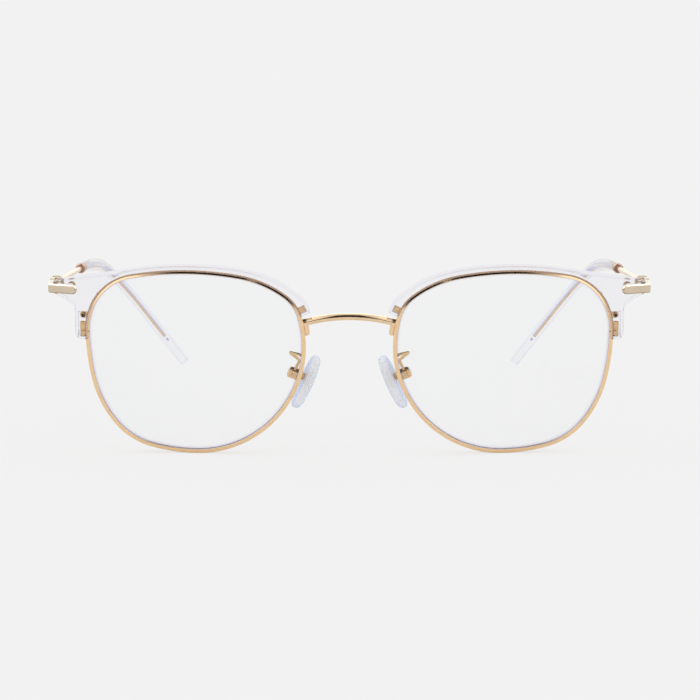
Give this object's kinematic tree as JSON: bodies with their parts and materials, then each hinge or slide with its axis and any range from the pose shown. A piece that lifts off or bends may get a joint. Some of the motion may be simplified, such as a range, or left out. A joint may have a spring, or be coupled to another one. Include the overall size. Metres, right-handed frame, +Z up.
{
  "type": "eyeglasses",
  "caption": "Browline eyeglasses with thin gold rims under clear brow bars, a wire bridge, folding wire temples with clear tips and rocking nose pads.",
  "frame": {"origin": "centre of the bounding box's underside, on the surface that rims and temple tips stand on", "axes": "+X to the wearer's left, +Y back from the front towards the ears, +Z up"},
  "size_m": [0.139, 0.1364, 0.0445],
  "materials": {
    "gold_metal": "polished pale gold plating",
    "screw_metal": "plated steel screws and inserts",
    "clear_acetate": "polished clear acetate",
    "tip_acetate": "polished clear acetate sleeve",
    "lens_clear": "polished clear lens",
    "pad_silicone": "clear soft silicone"
  },
  "bodies": {
    "front": {"bridge": "gold_metal", "brow_left": "clear_acetate", "brow_lug_left": "gold_metal", "brow_screw_left": "screw_metal", "brow_tab_left": "gold_metal", "closing_block_lower_left": "gold_metal", "closing_block_upper_left": "gold_metal", "closing_screw_left": "screw_metal", "endpiece_left": "gold_metal", "endpiece_screws_left": "screw_metal", "hinge_screw_left": "screw_metal", "lens_left": "lens_clear", "pad_arm_left": "gold_metal", "pad_box_left": "gold_metal", "pad_screw_left": "screw_metal", "rim_left": "gold_metal", "brow_right": "clear_acetate", "brow_lug_right": "gold_metal", "brow_screw_right": "screw_metal", "brow_tab_right": "gold_metal", "closing_block_lower_right": "gold_metal", "closing_block_upper_right": "gold_metal", "closing_screw_right": "screw_metal", "endpiece_right": "gold_metal", "endpiece_screws_right": "screw_metal", "hinge_screw_right": "screw_metal", "lens_right": "lens_clear", "pad_arm_right": "gold_metal", "pad_box_right": "gold_metal", "pad_screw_right": "screw_metal", "rim_right": "gold_metal"},
    "temple_left": {"temple_knuckle_left": "gold_metal", "temple_arm_left": "gold_metal", "tip_ferrule_left": "gold_metal", "temple_tip_left": "tip_acetate"},
    "pad_left": {"nose_pad_left": "pad_silicone", "pad_core_left": "screw_metal"},
    "temple_right": {"temple_knuckle_right": "gold_metal", "temple_arm_right": "gold_metal", "tip_ferrule_right": "gold_metal", "temple_tip_right": "tip_acetate"},
    "pad_right": {"nose_pad_right": "pad_silicone", "pad_core_right": "screw_metal"}
  },
  "joints": [
    {"name": "temple_fold_left", "type": "hinge", "parent": "front", "child": "temple_left", "pos_m": [0.0682, -0.05554, 0.03921], "axis": [0, -0.1009, 0.9949], "range_deg": [0, 82]},
    {"name": "temple_fold_right", "type": "hinge", "parent": "front", "child": "temple_right", "pos_m": [-0.0682, -0.05554, 0.03921], "axis": [0, 0.1009, -0.9949], "range_deg": [0, 76]},
    {"name": "pad_rock_left", "type": "hinge", "parent": "front", "child": "pad_left", "pos_m": [0.01297, -0.05654, 0.01791], "axis": [0.1163, 0.9816, 0.1516], "range_deg": [-10, 10]},
    {"name": "pad_rock_right", "type": "hinge", "parent": "front", "child": "pad_right", "pos_m": [-0.01297, -0.05654, 0.01791], "axis": [-0.1163, 0.9816, 0.1516], "range_deg": [-10, 10]}
  ]
}
